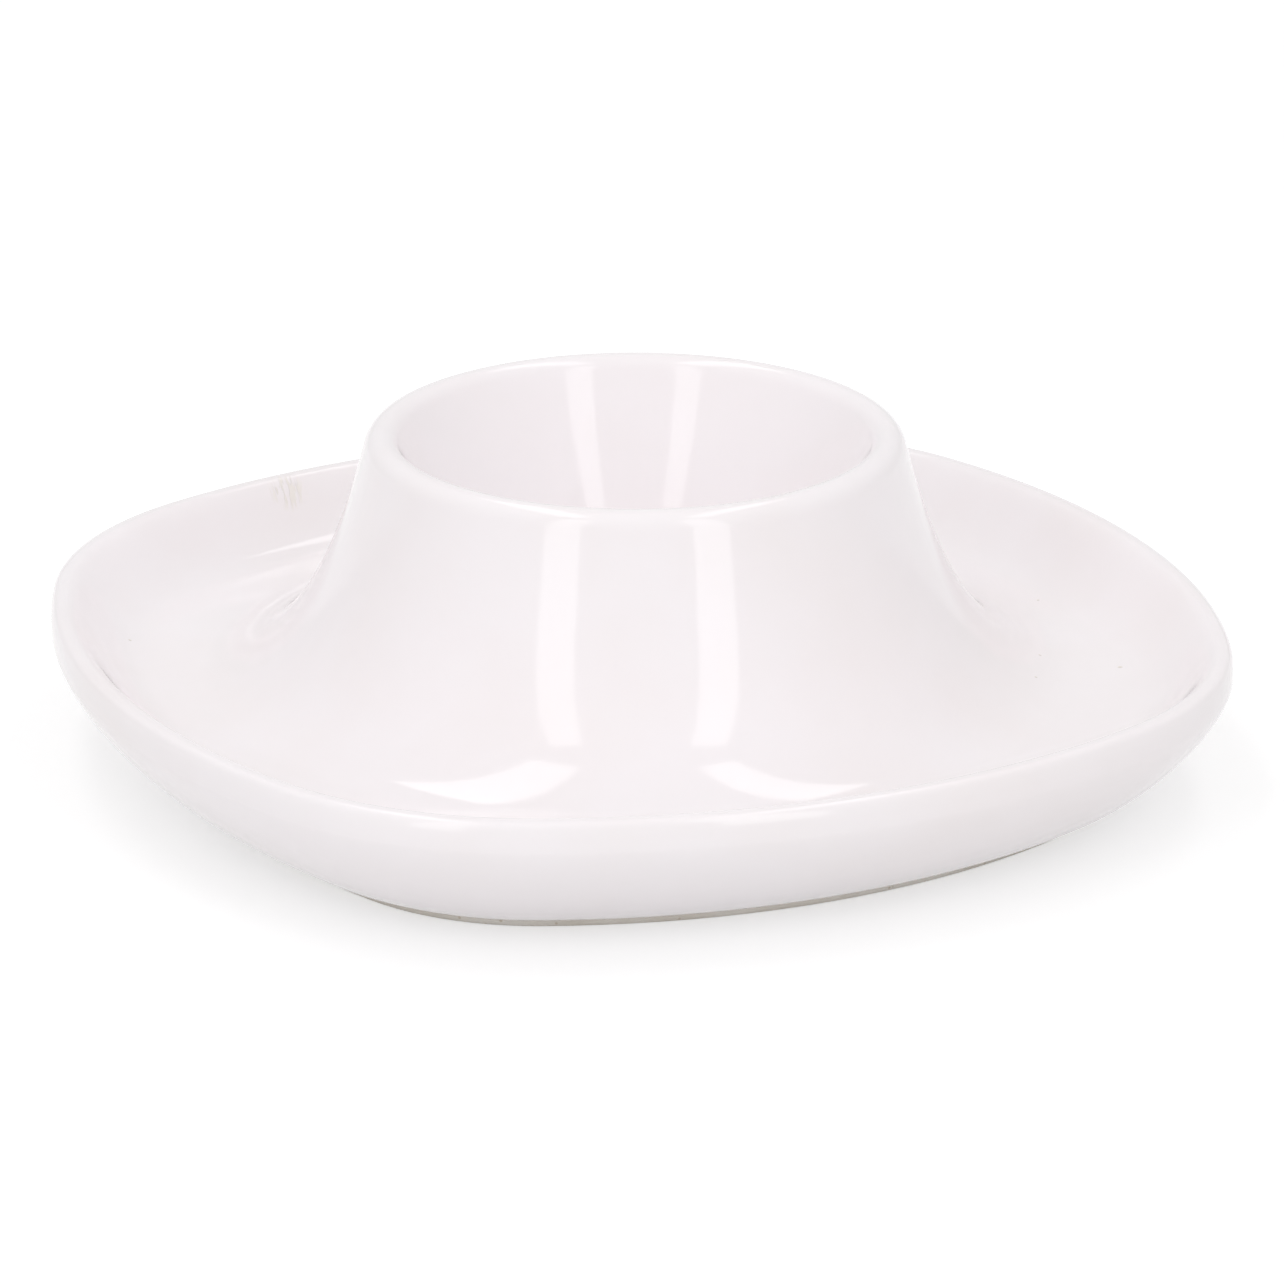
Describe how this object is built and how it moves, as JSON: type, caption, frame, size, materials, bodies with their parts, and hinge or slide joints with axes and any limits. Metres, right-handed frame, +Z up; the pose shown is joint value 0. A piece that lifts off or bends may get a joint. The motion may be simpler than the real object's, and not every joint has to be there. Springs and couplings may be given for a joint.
{
  "type": "egg cup",
  "caption": "White glazed egg cup that flares up from the middle of its own rounded-square saucer, with a thick raised rim round a shallow well.",
  "frame": {"origin": "on the table, under the middle of the cup", "axes": "+Z up out of the bowl; +X and +Y towards the middles of two neighbouring sides of the saucer"},
  "size_m": [0.116, 0.116, 0.035],
  "materials": {
    "bare_clay": "unglazed, wiped smooth on the foot ring",
    "glaze": "glossy white glaze"
  },
  "bodies": {
    "root": {"ceramic_body": "bare_clay", "glaze_upper": "glaze", "glaze_underside": "glaze"}
  },
  "joints": []
}
